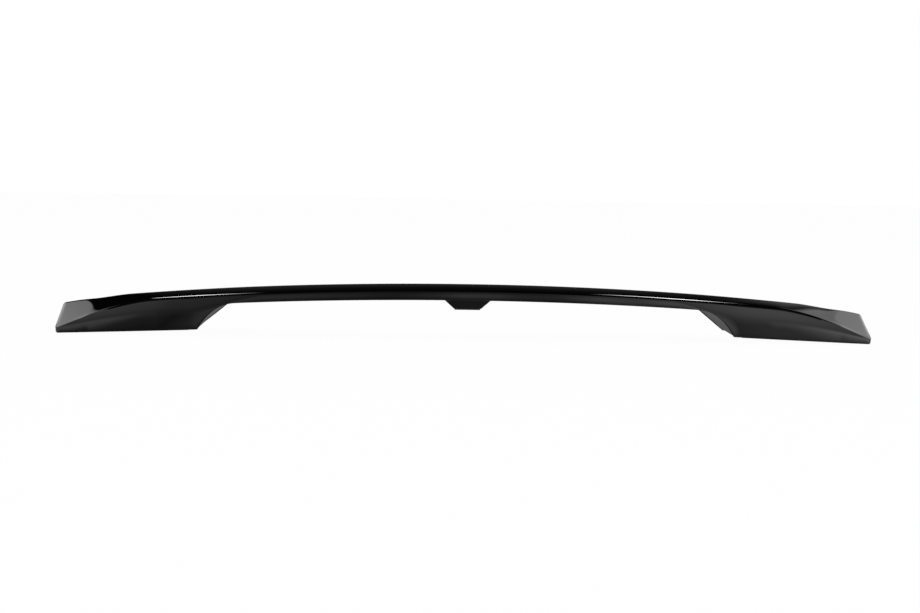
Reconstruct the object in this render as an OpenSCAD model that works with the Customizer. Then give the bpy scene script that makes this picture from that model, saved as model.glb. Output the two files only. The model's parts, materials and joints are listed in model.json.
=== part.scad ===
// Boot-lid rear spoiler: an arched blade carried by two long end feet and
// one short centre foot. Moulded upper shell, moulded lower panel, screwed together.
// Millimetres. +X to the right seen from behind the car, +Y to the front, +Z up.

/* [Overall] */
// width over both ends
width = 1270; // [1100:10:1400]
// height of the ridge at the middle above the lid line at the ends
ridge_h = 85.5; // [80:0.5:100]
// fall of the ridge and of the rear edge from the middle to the ends
arch = 37.5; // [30:0.5:42]
// forward sweep of the rear edge from the middle to the ends
sweep = 48; // [20:1:80]
// depth of the blade at the middle, front to back
chord_mid = 92; // [80:1:110]
// depth of the end feet, front to back
chord_foot = 136; // [115:1:160]

/* [Rear edge] */
// ridge above the rear edge at the middle
edge_step = 10; // [7:0.1:14]
// height of the rear face at the middle
face_h = 12.8; // [11:0.1:16]
// height of the lip above the rear edge
lip_h = 3.6; // [2:0.2:5]
// height of the rear face left at the outer ends
tip_h = 8.4; // [6:0.2:12]

/* [End feet] */
// length of each end foot along the lid
foot_w = 221; // [180:1:250]
// length of the curved run from blade to foot
knee_w = 62; // [45:1:80]
// fall of the lid under each foot
lid_fall = 10.3; // [4:0.1:14]
// outward fall of the flat panel at each end, in each millimetre
panel_fall = 0.49; // [0.4:0.01:0.6]
// forward rise of the same panel, in each millimetre
panel_rise = 0.52; // [0.45:0.01:0.6]
// inward lean of the end face from bottom to top
end_lean = 0.5; // [0:0.5:12]
// rounding of the end face
end_r = 5; // [2.5:0.5:6]

/* [Mouldings] */
// wall of the upper shell
wall = 3; // [2.4:0.1:3.4]
// thickness of the lower panel
panel_t = 2.5; // [2:0.1:3]
// the lower panel sits this far up inside the rim of the shell
recess = 1; // [0.5:0.1:1.5]
// gap all round between panel and shell
fit_gap = 0.4; // [0.3:0.05:0.8]

/* [Fixings] */
// thread size of the mounting inserts
insert_thread = 6; // [5:1:6]
// outside diameter of the inserts
insert_d = 9; // [8:0.5:10]
// length of the inserts
insert_l = 9; // [8:0.5:9]
// shank diameter of the assembly screws
screw_d = 4; // [3.5:0.1:4.5]
// first insert of each foot, from the foot's inner end
insert_in = 42; // [36:1:60]
// second insert of each foot, from the spoiler's outer end
insert_out = 66; // [58:1:80]

/* [Centre foot] */
// width of the centre foot at the blade
mid_top_w = 72; // [64:1:90]
// width of the centre foot at the lid
mid_base_w = 42; // [36:1:52]
// depth of the centre foot, front to back
mid_d = 56; // [52:1:62]
// gap between the blade's rim and the lid line at the middle
mid_gap = 15.6; // [14:0.1:17]
// thickness of the foam pads under all feet
pad_t = 2; // [1.5:0.1:2.5]

/* [Hidden] */

half = width/2;
foot_x = half - foot_w;                 // inner end of a foot
edge_h = ridge_h - edge_step;           // rear edge at the middle
low_h = edge_h - face_h;                // lower rim at the middle
low_fall = arch - 4.9;                  // the rim falls a little less than the ridge
end_drop = edge_h - arch - tip_h;       // what the rear edge loses over the ends
y_span = max([for (i = [0:60]) sweep*pow(i/60, 2) + chord(half*i/60)]);
y_rear = -y_span/2;                     // rear edge at the middle
nose_h = 9;                             // height of the blade's front face
nose_foot_h = 16;                       // height of the feet's front face
lip_run = 3.2;
panel_x = 0.93*half;                     // where the end panel starts on the ridge
end_wall = wall + 1;
mid_y = y_rear + 0.47*chord_mid;        // centre foot, front to back
mid_low = low_h - mid_gap;              // lid line at the middle
boss_r = insert_d/2 + 3.5;
cup_r = screw_d + 2.8;                  // cup for a screw head
head_r = screw_d;
head_h = 2.4;
cup_floor = 2.6;
cup_h = head_h + 0.6 + cup_floor;       // cup from the panel's lower face
post_r = screw_d/2 + 2.8;
thread_in = 9;                          // screw length inside its post
mid_screw = mid_d/2 - 10;               // centre foot screws, from its middle
run_n = 11;

function lerp(a, b, t) = a + (b - a)*t;
function clamp(t) = min(1, max(0, t));
function smooth(t) = let (c = clamp(t)) c*c*(3 - 2*c);

// lines that run the length of the spoiler, all by x
function s_of(x) = abs(x)/half;
function rear_y(x) = y_rear + sweep*pow(s_of(x), 2);
function chord(x) = lerp(chord_mid, chord_foot, smooth((s_of(x) - 0.22)/0.52))
    - 18*smooth((s_of(x) - 0.78)/0.22);
function front_y(x) = rear_y(x) + chord(x);
function ridge_z(x) = ridge_h - arch*pow(s_of(x), 2) - 3*smooth((s_of(x) - 0.82)/0.1);
function edge_z(x) =
    let (z = edge_h - arch*pow(s_of(x), 2) - end_drop*pow(clamp((s_of(x) - 0.76)/0.24), 1.6))
    s_of(x) < 0.8 ? z : min(z, panel_z(abs(x) - lean(x), rear_y(x)));
function blade_z(x) = low_h - low_fall*pow(s_of(x), 2);
function lid_z(x) = lid_fall*(half - abs(x))/foot_w;
function near_t(x) = pow(clamp((abs(x) - foot_x + knee_w)/knee_w), 2.55);
function far_t(x) = clamp((abs(x) - foot_x + 0.8*knee_w)/(0.8*knee_w + 3));
function near_z(x) = lerp(blade_z(x), lid_z(x), near_t(x));
function far_z(x) = lerp(blade_z(x) + 1, lid_z(x), far_t(x));
function under_z(x, y) =
    lerp(near_z(x), far_z(x), clamp((y - rear_y(x))/chord(x)));
function nose_z(x) = lerp(blade_z(x) + 1 + nose_h, lid_z(x) + nose_foot_h,
                          smooth((s_of(x) - 0.54)/0.26));
function lip_k(x) = 1 - 0.6*smooth((s_of(x) - 0.75)/0.25);
function lean(x) = end_lean*smooth((s_of(x) - 0.86)/0.14);
function crest_dy(x) = 40 + 12*s_of(x);

// height of the end panel: a plane that cuts the skin along a slanting crease
function panel_z(x, y) = ridge_z(panel_x) - panel_fall*(abs(x) - panel_x)
    + panel_rise*(y - rear_y(panel_x) - crest_dy(panel_x));

// height of the top skin at x, d forward of the rear edge
function skin_z(x, d) =
    let (zr = ridge_z(abs(x) - lean(x)), z0 = edge_z(x) + lip_h*lip_k(x),
         c = crest_dy(x), w = chord(x) - 1.5, e = 2 - 0.6*smooth((s_of(x) - 0.7)/0.2),
         z = d < c ? zr - (zr - z0)*pow((c - d)/(c - lip_run), e)
                   : zr - (zr - nose_z(x))*pow((d - c)/(w - c), 2))
    s_of(x) < 0.8 ? z : min(z, panel_z(abs(x) - lean(x), rear_y(x) + d));

// one cross-section of the outside, from the rear rim over the top to the front rim
function section(x) =
    let (yr = rear_y(x), yf = front_y(x), zb = near_z(x), zc = edge_z(x),
         h = zc - zb, tuck = 1 + 0.1*h, bulge = 0.03*h, k = lip_k(x), w = chord(x) - 1.5)
    concat([for (t = [0:3]) [yr + tuck*(1 - t/3) - bulge*sin(60*t), zb + h*t/3]],
           [[yr + 1.1, zc + 0.62*lip_h*k]],
           [for (i = [0:run_n - 1]) let (d = lerp(lip_run, w, i/(run_n - 1)))
               [yr + d, skin_z(x, d)]],
           [[yf, nose_z(x) - 2.5], [yf - 0.6, far_z(x)]]);

// the same line moved inwards by d
function unit(v) = v/norm(v);
function inset(p, d) = [for (i = [0:len(p) - 1])
    let (a = unit(p[max(i, 1)] - p[max(i, 1) - 1]),
         b = unit(p[min(i + 1, len(p) - 1)] - p[min(i, len(p) - 2)]),
         m = unit(a + b), c = max(0.7, a*m))
    p[i] + d/c*[m[1], -m[0]]];

function stand(x, sec) = [for (p = sec)
    [x - sign(x)*lean(x)*max(0, p[1] - lid_z(x))/46, p[0], p[1]]];
function squeeze(sec, f) =
    let (y0 = (sec[0][0] + sec[len(sec) - 1][0])/2, top = max([for (p = sec) p[1]]),
         fy = 1 - f/45, fz = 1 - 2*f/top)
    [for (p = sec) [y0 + (p[0] - y0)*fy, top/2 + (p[1] - top/2)*fz]];

// stations along half the width
knee_a = foot_x - knee_w - 2;
knee_b = foot_x + 6;
function half_stations(last) = concat(
    [for (i = [0:8]) knee_a*i/8],
    [for (i = [1:11]) lerp(knee_a, knee_b, i/11)],
    [for (i = [1:5]) lerp(knee_b, 0.86*half, i/5)],
    [for (i = [1:6]) lerp(0.86*half, last, i/6)]);
function both_ways(h) = concat([for (i = [len(h) - 1:-1:1]) -h[i]], h);

// a strip of faces between two rows of m points, p and q, both stepping by d
function strip(p, q, d, m) = [for (j = [0:m - 2])
    each [[p + j*d, q + (j + 1)*d, q + j*d], [p + j*d, p + (j + 1)*d, q + (j + 1)*d]]];

module loft(rings) {
    n = len(rings[0]);
    m = len(rings);
    polyhedron([for (r = rings) each r], concat(
        [for (i = [0:n - 1]) each strip((i + 1) % n, i, n, m)],
        [[for (i = [n - 1:-1:0]) i]],
        [[for (i = [0:n - 1]) (m - 1)*n + i]]));
}

// inside line of the wall, its two ends brought level with the outer rims
function hollow(x) =
    let (o = section(x), p = inset(o, wall), e = len(p) - 1)
    [for (i = [0:e]) i == 0 ? [p[0][0], o[0][1]] : i == e ? [p[e][0], o[e][1]] : p[i]];

// the whole wall as one closed skin: outside, inside, rims and end walls
module shell_skin() {
    flat = half - end_wall;
    arc = [for (a = [0:22.5:90]) [half - end_r + end_r*sin(a), end_r*(1 - cos(a))]];
    tail = [for (q = arc) if (q[0] > flat + 0.3) q];
    mid = both_ways(half_stations(flat));
    c = len(tail);
    m = len(mid);
    f_at = end_r - sqrt(end_r*end_r - pow(max(0, end_r - end_wall), 2));
    out = concat(
        [for (i = [c - 1:-1:0]) stand(-tail[i][0], squeeze(section(-tail[i][0]), tail[i][1]))],
        [for (j = [0:m - 1]) stand(mid[j], squeeze(section(mid[j]),
            j == 0 || j == m - 1 ? f_at : 0))],
        [for (i = [0:c - 1]) stand(tail[i][0], squeeze(section(tail[i][0]), tail[i][1]))]);
    in = [for (x = mid) stand(x, hollow(x))];
    n = len(out[0]);
    t = m + 2*c;
    o = t*n;
    e = n - 1;
    za = c*n;                // outer ring beside the first inner ring
    zb = (c + m - 1)*n;      // outer ring beside the last inner ring
    ia = o;
    ib = o + (m - 1)*n;
    polyhedron(concat([for (r = out) each r], [for (r = in) each r]), concat(
        [for (i = [0:n - 2]) each strip(i + 1, i, n, t)],
        [for (i = [0:n - 2]) each strip(o + i, o + i + 1, n, m)],
        strip(za, ia, n, m),
        strip(ia + e, za + e, n, m),
        [[for (i = [e:-1:0]) i]],
        [[for (i = [0:e]) (t - 1)*n + i]],
        [[for (i = [0:e]) ia + i]],
        [[for (i = [e:-1:0]) ib + i]],
        strip(0, e, n, c),
        strip(zb + n, zb + n + e, n, c),
        [[za - n, za, ia], [za - n, ia, ia + e], [za - n, ia + e, za - n + e],
         [za - n + e, ia + e, za + e]],
        [[zb, zb + n, ib], [ib, zb + n, ib + e], [ib + e, zb + n, zb + n + e],
         [ib + e, zb + n + e, zb + e]]));
}

// places of the screws and inserts, right-hand side
foot_mid = foot_x + 0.42*foot_w;
blade_screws = [for (f = [0.15, 0.4]) [f*half, rear_y(f*half) + 0.45*chord(f*half)]];
foot_screws = [for (f = [0.24, 0.56]) [foot_mid, rear_y(foot_mid) + f*chord(foot_mid)]];
screws = concat(blade_screws, foot_screws);
foot_inserts = [for (x = [foot_x + insert_in, half - insert_out])
    [x, rear_y(x) + 0.5*chord(x)]];

// lower face of the panel
function floor_z(x, y) = under_z(x, y) + recess;
function seat_z(p) = floor_z(p[0], p[1]) + cup_h;
function skin_at(p) = skin_z(p[0], p[1] - rear_y(p[0]));
// inserts stand upright, their mouth level with the panel's lower face
function mouth_z(p) = floor_z(p[0], p[1]);

// 1. painted upper shell: top skin, rear face, front face and ends in one moulding
module upper_shell() color("#0b0b0d") {
    difference() {
        union() {
            shell_skin();
            for (p = screws) for (k = [-1, 1]) translate([k*p[0], p[1], seat_z(p)])
                cylinder(h = skin_at(p) - 0.62*wall - seat_z(p), r = post_r, $fn = 24);
        }
        for (p = screws) for (k = [-1, 1]) translate([k*p[0], p[1], seat_z(p) - 1])
            cylinder(h = thread_in + 2, r = screw_d/2, $fn = 20);
    }
}

// 2. lower panel: underside of the blade, inner walls and floors of the feet
function panel_ring(x) =
    let (p = inset(section(x), wall), e = len(p) - 1,
         ya = p[0][0] + fit_gap, yb = p[e][0] - fit_gap,
         sl = (near_z(abs(x) + 1) - near_z(abs(x) - 1))/2,
         sf = (far_z(abs(x) + 1) - far_z(abs(x) - 1))/2,
         ta = panel_t*min(1.7, sqrt(1 + sl*sl)), tb = panel_t*min(1.7, sqrt(1 + sf*sf)))
    [[x, ya, floor_z(x, ya)], [x, ya, floor_z(x, ya) + ta],
     [x, yb, floor_z(x, yb) + tb], [x, yb, floor_z(x, yb)]];

module lower_panel() color("#1c1c1e") {
    last = half - end_wall - end_lean*(recess + 1.2*panel_t)/46 - fit_gap;
    difference() {
        union() {
            loft([for (x = both_ways(half_stations(last))) panel_ring(x)]);
            for (p = screws) for (k = [-1, 1])
                translate([k*p[0], p[1], floor_z(p[0], p[1]) + 0.6])
                    cylinder(h = cup_h - 0.6, r = cup_r, $fn = 24);
            for (p = foot_inserts) for (k = [-1, 1])
                translate([k*p[0], p[1], mouth_z(p) + 0.6])
                    cylinder(h = insert_l + 2.4, r = boss_r, $fn = 24);
            translate([-mid_top_w/2 - 2, mid_y - mid_d/2 - 2, low_h])
                cube([mid_top_w + 4, mid_d + 4, recess + 1.5]);
            for (k = [-1, 1]) translate([0, mid_y + k*mid_screw, low_h + recess])
                cylinder(h = thread_in + 1.5, r = post_r + 0.5, $fn = 24);
        }
        for (p = screws) for (k = [-1, 1]) translate([k*p[0], p[1], floor_z(p[0], p[1])]) {
            translate([0, 0, -3]) cylinder(h = 3 + cup_h - cup_floor, r = head_r + 0.4, $fn = 24);
            cylinder(h = cup_h + 1, r = screw_d/2 + 0.3, $fn = 20);
        }
        for (p = foot_inserts) for (k = [-1, 1])
            translate([k*p[0], p[1], mouth_z(p) - 3])
                cylinder(h = insert_l + 3, r = insert_d/2, $fn = 24);
        for (k = [-1, 1]) translate([0, mid_y + k*mid_screw, low_h - 1])
            cylinder(h = thread_in + 1, r = screw_d/2, $fn = 20);
    }
}

// 3. centre foot: a short hollow pedestal under the blade
mid_h = mid_gap - pad_t;
module frustum(w0, w1, d0, d1, h) {
    pts = concat([for (q = [[-1, -1], [1, -1], [1, 1], [-1, 1]]) [q[0]*w0/2, q[1]*d0/2, 0]],
                 [for (q = [[-1, -1], [1, -1], [1, 1], [-1, 1]]) [q[0]*w1/2, q[1]*d1/2, h]]);
    polyhedron(pts, [[0, 1, 2, 3], [4, 7, 6, 5], [0, 4, 5, 1], [1, 5, 6, 2],
                     [2, 6, 7, 3], [3, 7, 4, 0]]);
}
module centre_foot() color("#19191b") translate([0, mid_y, mid_low + pad_t]) {
    difference() {
        union() {
            difference() {
                frustum(mid_base_w, mid_top_w, mid_d - 6, mid_d, mid_h);
                translate([0, 0, 3])
                    frustum(mid_base_w - 2, mid_top_w - 7, mid_d - 12, mid_d - 6, mid_h - 2.99);
            }
            cylinder(h = mid_h, r = boss_r, $fn = 24);
            for (k = [-1, 1]) translate([0, k*mid_screw, 0])
                cylinder(h = mid_h, r = cup_r - 1.3, $fn = 24);
        }
        translate([0, 0, -1]) cylinder(h = insert_l + 1, r = insert_d/2, $fn = 24);
        for (k = [-1, 1]) translate([0, k*mid_screw, -1]) {
            cylinder(h = 1 + mid_h - cup_floor, r = head_r + 0.4, $fn = 24);
            cylinder(h = mid_h + 2, r = screw_d/2 + 0.3, $fn = 20);
        }
    }
}

// 4. foam pads under the end feet
pad_in = 12;
function pad_ring(x) =
    let (ya = rear_y(x) + pad_in + 2, yb = front_y(x) - pad_in, z = lid_z(x) + recess)
    [[x, ya, z - pad_t], [x, ya, z], [x, yb, z], [x, yb, z - pad_t]];
module foot_pad(k) color("#2b2b2d") {
    a = foot_x + 14;
    b = half - max(20, foot_w*(pad_t - recess)/lid_fall);
    xs = [for (i = [0:8]) lerp(a, b, i/8)];
    difference() {
        loft([for (i = [0:8]) pad_ring(k > 0 ? xs[i] : -xs[8 - i])]);
        for (p = foot_inserts) translate([k*p[0], p[1], -5])
            cylinder(h = 30, r = insert_d/2 + 1.5, $fn = 24);
        for (p = foot_screws) translate([k*p[0], p[1], -5])
            cylinder(h = 30, r = head_r + 1.5, $fn = 24);
    }
}
module foot_pad_left() foot_pad(-1);
module foot_pad_right() foot_pad(1);

// 5. foam pad under the centre foot
module centre_pad() color("#2b2b2d") translate([0, mid_y, mid_low]) difference() {
    translate([-mid_base_w/2 + 1.5, -mid_d/2 + 5, 0])
        cube([mid_base_w - 3, mid_d - 10, pad_t]);
    translate([0, 0, -1]) cylinder(h = pad_t + 2, r = insert_d/2 + 1, $fn = 24);
    for (k = [-1, 1]) translate([0, k*mid_screw, -1])
        cylinder(h = pad_t + 2, r = head_r + 0.8, $fn = 24);
}

// 6. brass inserts for the bolts that come up through the lid
module insert_one() difference() {
    cylinder(h = insert_l, r = insert_d/2, $fn = 24);
    translate([0, 0, -1]) cylinder(h = insert_l, r = insert_thread/2, $fn = 24);
}
module thread_inserts() color("#b8964f") {
    for (p = foot_inserts) for (k = [-1, 1]) translate([k*p[0], p[1], mouth_z(p)]) insert_one();
    translate([0, mid_y, mid_low + pad_t]) insert_one();
}

// 7. thread-forming screws that hold shell, panel and centre foot together
module screw_one() {
    cylinder(h = cup_floor + thread_in - 1, r = screw_d/2, $fn = 20);
    translate([0, 0, -head_h]) difference() {
        cylinder(h = head_h, r = head_r, $fn = 24);
        translate([0, 0, -1]) cylinder(h = 1 + 0.55*head_h, r = 0.55*head_r, $fn = 6);
    }
}
module assembly_screws() color("#9a9da1") {
    for (p = screws) for (k = [-1, 1])
        translate([k*p[0], p[1], seat_z(p) - cup_floor]) screw_one();
    for (k = [-1, 1]) translate([0, mid_y + k*mid_screw, low_h - cup_floor]) screw_one();
}

upper_shell();
lower_panel();
centre_foot();
foot_pad_left();
foot_pad_right();
centre_pad();
thread_inserts();
assembly_screws();
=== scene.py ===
"""Studio scene of a gloss-black boot-lid spoiler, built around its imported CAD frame.

Lengths in the size classes are millimetres; meshes are written in metres.
"""

import json
import logging
import math
from dataclasses import dataclass
from enum import Enum
from functools import partial
from typing import Sequence

import bmesh
import bpy
import numpy as np
from mathutils import Matrix, Vector

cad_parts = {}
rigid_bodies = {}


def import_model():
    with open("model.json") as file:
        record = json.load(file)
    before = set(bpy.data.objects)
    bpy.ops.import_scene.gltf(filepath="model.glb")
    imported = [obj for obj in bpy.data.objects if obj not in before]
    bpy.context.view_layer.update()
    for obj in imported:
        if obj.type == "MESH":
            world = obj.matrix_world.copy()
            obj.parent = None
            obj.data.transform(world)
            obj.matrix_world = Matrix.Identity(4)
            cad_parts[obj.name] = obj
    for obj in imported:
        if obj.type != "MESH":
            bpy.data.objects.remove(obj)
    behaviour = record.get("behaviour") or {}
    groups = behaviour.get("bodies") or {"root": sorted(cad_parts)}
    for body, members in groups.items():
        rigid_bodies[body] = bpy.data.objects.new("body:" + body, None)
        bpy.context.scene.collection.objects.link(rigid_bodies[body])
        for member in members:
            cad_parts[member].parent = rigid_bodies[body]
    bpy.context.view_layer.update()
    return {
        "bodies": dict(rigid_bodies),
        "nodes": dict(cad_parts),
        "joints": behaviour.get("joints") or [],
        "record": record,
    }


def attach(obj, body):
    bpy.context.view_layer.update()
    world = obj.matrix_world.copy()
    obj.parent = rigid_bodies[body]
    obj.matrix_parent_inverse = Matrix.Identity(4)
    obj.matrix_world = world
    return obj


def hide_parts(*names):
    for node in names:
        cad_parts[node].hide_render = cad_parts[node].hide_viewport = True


logging.basicConfig(level=logging.INFO, format="%(message)s")
LOG = logging.getLogger("spoiler")
MM = 0.001
SHARP = 35.0
WHITE = (1, 1, 1, 1)
Array = np.ndarray
Point = tuple[float, float]
Span = tuple[float, float]


def clamp(t: float) -> float:
    """Clamps t to 0..1."""
    return min(1.0, max(0.0, t))


def smooth(t: float) -> float:
    """Smooth step of t, clamped to 0..1."""
    c = clamp(t)
    return c * c * (3 - 2 * c)


def lerp(a: float, b: float, t: float) -> float:
    """Straight mix of two numbers, a at 0 and b at 1."""
    return a + (b - a) * t


def soft_min(a: float, b: float, soft: float) -> float:
    """Lesser of two numbers, rounded off where they are within soft of each other."""
    return min(a, b) - max(0.0, soft - abs(a - b)) ** 2 / (4 * soft)


def arc_to(start: Point, corner: Point, end: Point, n: int) -> list[Point]:
    """Rounds a corner in n steps.

    Args:
        start: where the round begins.
        corner: the sharp corner, where the lines of both ends meet.
        end: where the round ends.
        n: number of steps.

    Returns:
        The points after start, end among them.
    """
    out = []
    for t in (i / n for i in range(1, n + 1)):
        parts = ((1 - t) ** 2, 2 * t * (1 - t), t * t)
        out.append(tuple(np.dot(parts, (start, corner, end))))
    return out


class Side(Enum):
    """Left or right as seen from behind the car."""

    LEFT = -1
    RIGHT = 1


@dataclass(frozen=True)
class SpoilerSize:
    """Driving sizes of the spoiler and the lines that run along it, in millimetres.

    A Span is the start and the run of a change along the spoiler, as shares s of the half
    width, and d is a distance forward of the rear edge.
    """

    width: float = 1270.0
    ridge_h: float = 85.5
    ridge_dip: float = 3.0
    ridge_fade: Span = (0.82, 0.1)
    arch: float = 37.5
    blade_rise: float = 4.9
    sweep: float = 48.0
    chord_mid: float = 92.0
    chord_foot: float = 136.0
    chord_loss: float = 18.0
    chord_grow: Span = (0.22, 0.52)
    chord_fade: Span = (0.78, 0.22)
    crest_mid: float = 40.0
    crest_more: float = 12.0
    bend: float = 2.0
    bend_loss: float = 0.6
    bend_fade: Span = (0.7, 0.2)
    edge_step: float = 10.0
    edge_fade: Span = (0.76, 0.24)
    edge_power: float = 1.6
    face_h: float = 12.8
    face_lean: float = 0.1
    face_hollow: float = 0.03
    lip_h: float = 3.6
    lip_run: float = 3.2
    lip_loss: float = 0.6
    lip_fade: Span = (0.75, 0.25)
    tip_h: float = 8.4
    foot_w: float = 221.0
    knee_w: float = 62.0
    knee_power: float = 2.55
    knee_front: float = 0.8
    lid_fall: float = 10.3
    panel_at: float = 0.93
    panel_from: float = 0.8
    panel_fall: float = 0.49
    panel_rise: float = 0.48
    panel_soft: float = 3.6
    panel_crease: float = 1.3
    panel_edge: float = 0.3
    end_lean: float = 0.5
    lean_h: float = 46.0
    lean_grow: Span = (0.86, 0.14)
    end_r: float = 5.0
    wall: float = 3.0
    recess: float = 1.0
    rim_r: float = 0.6
    nose_h: float = 9.0
    nose_foot_h: float = 16.0
    nose_grow: Span = (0.54, 0.26)
    nose_r: float = 1.5
    nose_round: float = 4.0
    front_rise: float = 1.0
    pad_t: float = 2.0
    mid_d: float = 56.0
    mid_gap: float = 15.6
    mid_place: float = 0.47
    insert_in: float = 42.0
    insert_out: float = 66.0
    insert_d: float = 9.0
    insert_l: float = 9.0
    insert_bore: float = 6.0
    insert_pitch: float = 1.0
    screw_d: float = 4.0
    screw_pitch: float = 1.5
    post_wall: float = 2.8
    mid_screw_in: float = 10.0
    head_h: float = 2.4
    head_gap: float = 0.6
    cup_floor: float = 2.6
    thread_in: float = 9.0

    @property
    def half(self) -> float:
        """Half the overall width."""
        return self.width / 2

    @property
    def foot_x(self) -> float:
        """Inner end of a foot."""
        return self.half - self.foot_w

    @property
    def edge_h(self) -> float:
        """Height of the rear edge at the middle."""
        return self.ridge_h - self.edge_step

    @property
    def low_h(self) -> float:
        """Height of the lower rim at the middle."""
        return self.edge_h - self.face_h

    @property
    def panel_x(self) -> float:
        """Where the end panel starts on the ridge."""
        return self.panel_at * self.half

    @property
    def y_rear(self) -> float:
        """Rear edge at the middle, so that the whole depth is centred.

        Returns:
            Its place, front to back.
        """
        n = 60
        span = max(
            self.sweep * (i / n) ** 2 + self.chord(self.half * i / n)
            for i in range(n + 1)
        )
        return -span / 2

    @property
    def mid_y(self) -> float:
        """Centre foot, front to back."""
        return self.y_rear + self.mid_place * self.chord_mid

    def s(self, x: float) -> float:
        """Share of the half width at x."""
        return abs(x) / self.half

    def ease(self, x: float, span: Span) -> float:
        """Smooth step of the share at x over a span."""
        start, run = span
        return smooth((self.s(x) - start) / run)

    def chord(self, x: float) -> float:
        """Depth of the spoiler at x, front to back."""
        full = lerp(self.chord_mid, self.chord_foot, self.ease(x, self.chord_grow))
        return full - self.chord_loss * self.ease(x, self.chord_fade)

    def rear_y(self, x: float) -> float:
        """Place of the rear edge at x."""
        return self.y_rear + self.sweep * self.s(x) ** 2

    def ridge_z(self, x: float) -> float:
        """Height of the ridge at x."""
        s, dip = self.s(x), self.ridge_dip * self.ease(x, self.ridge_fade)
        return self.ridge_h - self.arch * s * s - dip

    def edge_z(self, x: float) -> float:
        """Height of the rear edge, which the end panel's plane cuts down.

        Args:
            x: place along the spoiler.

        Returns:
            The height.
        """
        s, (start, run) = self.s(x), self.edge_fade
        drop = self.edge_h - self.arch - self.tip_h
        fade = clamp((s - start) / run) ** self.edge_power
        z = self.edge_h - self.arch * s * s - drop * fade
        if s < self.panel_from:
            return z
        return min(z, self.panel_z(abs(x) - self.lean(x), self.rear_y(x)))

    def blade_z(self, x: float) -> float:
        """Height of the blade's lower rim at x."""
        return self.low_h - (self.arch - self.blade_rise) * self.s(x) ** 2

    def front_z(self, x: float) -> float:
        """Height of the blade's lower rim at the front."""
        return self.blade_z(x) + self.front_rise

    def lid_z(self, x: float) -> float:
        """Height of the lid line under a foot at x."""
        return self.lid_fall * (self.half - abs(x)) / self.foot_w

    def near_z(self, x: float) -> float:
        """Height of the rear lower rim at x."""
        t = clamp((abs(x) - self.foot_x + self.knee_w) / self.knee_w) ** self.knee_power
        return lerp(self.blade_z(x), self.lid_z(x), t)

    def far_z(self, x: float) -> float:
        """Height of the front lower rim, whose knee is shorter.

        Args:
            x: place along the spoiler.

        Returns:
            The height.
        """
        run, past = self.knee_front * self.knee_w, 3
        t = clamp((abs(x) - self.foot_x + run) / (run + past))
        return lerp(self.front_z(x), self.lid_z(x), t)

    def under_z(self, x: float, y: float) -> float:
        """Height of the lower face between the two rims."""
        t = clamp((y - self.rear_y(x)) / self.chord(x))
        return lerp(self.near_z(x), self.far_z(x), t)

    def floor_z(self, x: float, y: float) -> float:
        """Height of the lower panel's own lower face."""
        return self.under_z(x, y) + self.recess

    def nose_z(self, x: float) -> float:
        """Height of the front face's top at x."""
        low, high = self.front_z(x) + self.nose_h, self.lid_z(x) + self.nose_foot_h
        return lerp(low, high, self.ease(x, self.nose_grow))

    def lip_k(self, x: float) -> float:
        """Share of the full lip height left at x."""
        return 1 - self.lip_loss * self.ease(x, self.lip_fade)

    def lean(self, x: float) -> float:
        """Inward lean of the section at x, for lean_h of height."""
        return self.end_lean * self.ease(x, self.lean_grow)

    def crest(self, x: float) -> float:
        """Distance of the ridge from the rear edge."""
        return self.crest_mid + self.crest_more * self.s(x)

    def panel_z(self, x: float, y: float) -> float:
        """Height of the flat end panel's plane.

        Args:
            x: place along the spoiler.
            y: place from the rear to the front.

        Returns:
            The height.
        """
        at = self.panel_x
        fall = self.panel_fall * (abs(x) - at)
        rise = self.panel_rise * (y - (self.rear_y(at) + self.crest(at)))
        return self.ridge_z(at) - fall + rise

    def skin_z(self, x: float, d: float) -> float:
        """Height of the top skin, with the end panel cut into it.

        Args:
            x: place along the spoiler.
            d: distance forward of the rear edge.

        Returns:
            The height.
        """
        zr = self.ridge_z(abs(x) - self.lean(x))
        z0 = self.edge_z(x) + self.lip_h * self.lip_k(x)
        c, w = self.crest(x), self.chord(x) - self.nose_r
        if d < c:
            bend = self.bend - self.bend_loss * self.ease(x, self.bend_fade)
            z = zr - (zr - z0) * ((c - d) / (c - self.lip_run)) ** bend
        else:
            z = zr - (zr - self.nose_z(x)) * ((d - c) / (w - c)) ** 2
        if self.s(x) < self.panel_from:
            return z
        p = self.panel_z(abs(x) - self.lean(x), self.rear_y(x) + d)
        cut = soft_min(z, p + self.panel_crease, self.panel_soft)
        return soft_min(cut, p, self.panel_edge)

    def outer(self, x: float) -> Array:
        """The coarse outside line of a section, as in the CAD source.

        Args:
            x: place along the spoiler.

        Returns:
            Points from the rear rim over the top to the front rim.
        """
        yr, zb, zc = self.rear_y(x), self.near_z(x), self.edge_z(x)
        h, yf = zc - zb, yr + self.chord(x)
        lean, hollow = 1 + self.face_lean * h, self.face_hollow * h
        pts = [
            (yr + lean * (1 - t / 3) - hollow * math.sin(math.radians(60 * t)), zb + h * t / 3)
            for t in range(4)
        ]
        pts.append((yr + 1.1, zc + 0.62 * self.lip_h * self.lip_k(x)))
        for i in range(11):
            d = lerp(self.lip_run, self.chord(x) - self.nose_r, i / 10)
            pts.append((yr + d, self.skin_z(x, d)))
        pts += [(yf, self.nose_z(x) - 2.5), (yf - 0.6, self.far_z(x))]
        return np.array(pts)

    def face_y(self, x: float, u: float) -> float:
        """Line of the rear face, which runs past the knee without a crease.

        Args:
            x: place along the spoiler.
            u: distance below the rear edge.

        Returns:
            How far forward of the edge the face lies.
        """
        run = 1.8 * self.knee_w
        t = smooth((abs(x) - self.foot_x + 0.9 * run) / run)
        deep = self.edge_z(x) - lerp(self.blade_z(x), self.lid_z(x), t)
        k = clamp(u / deep)
        return self.face_lean * u + k - self.face_hollow * deep * math.sin(math.pi * k)

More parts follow.
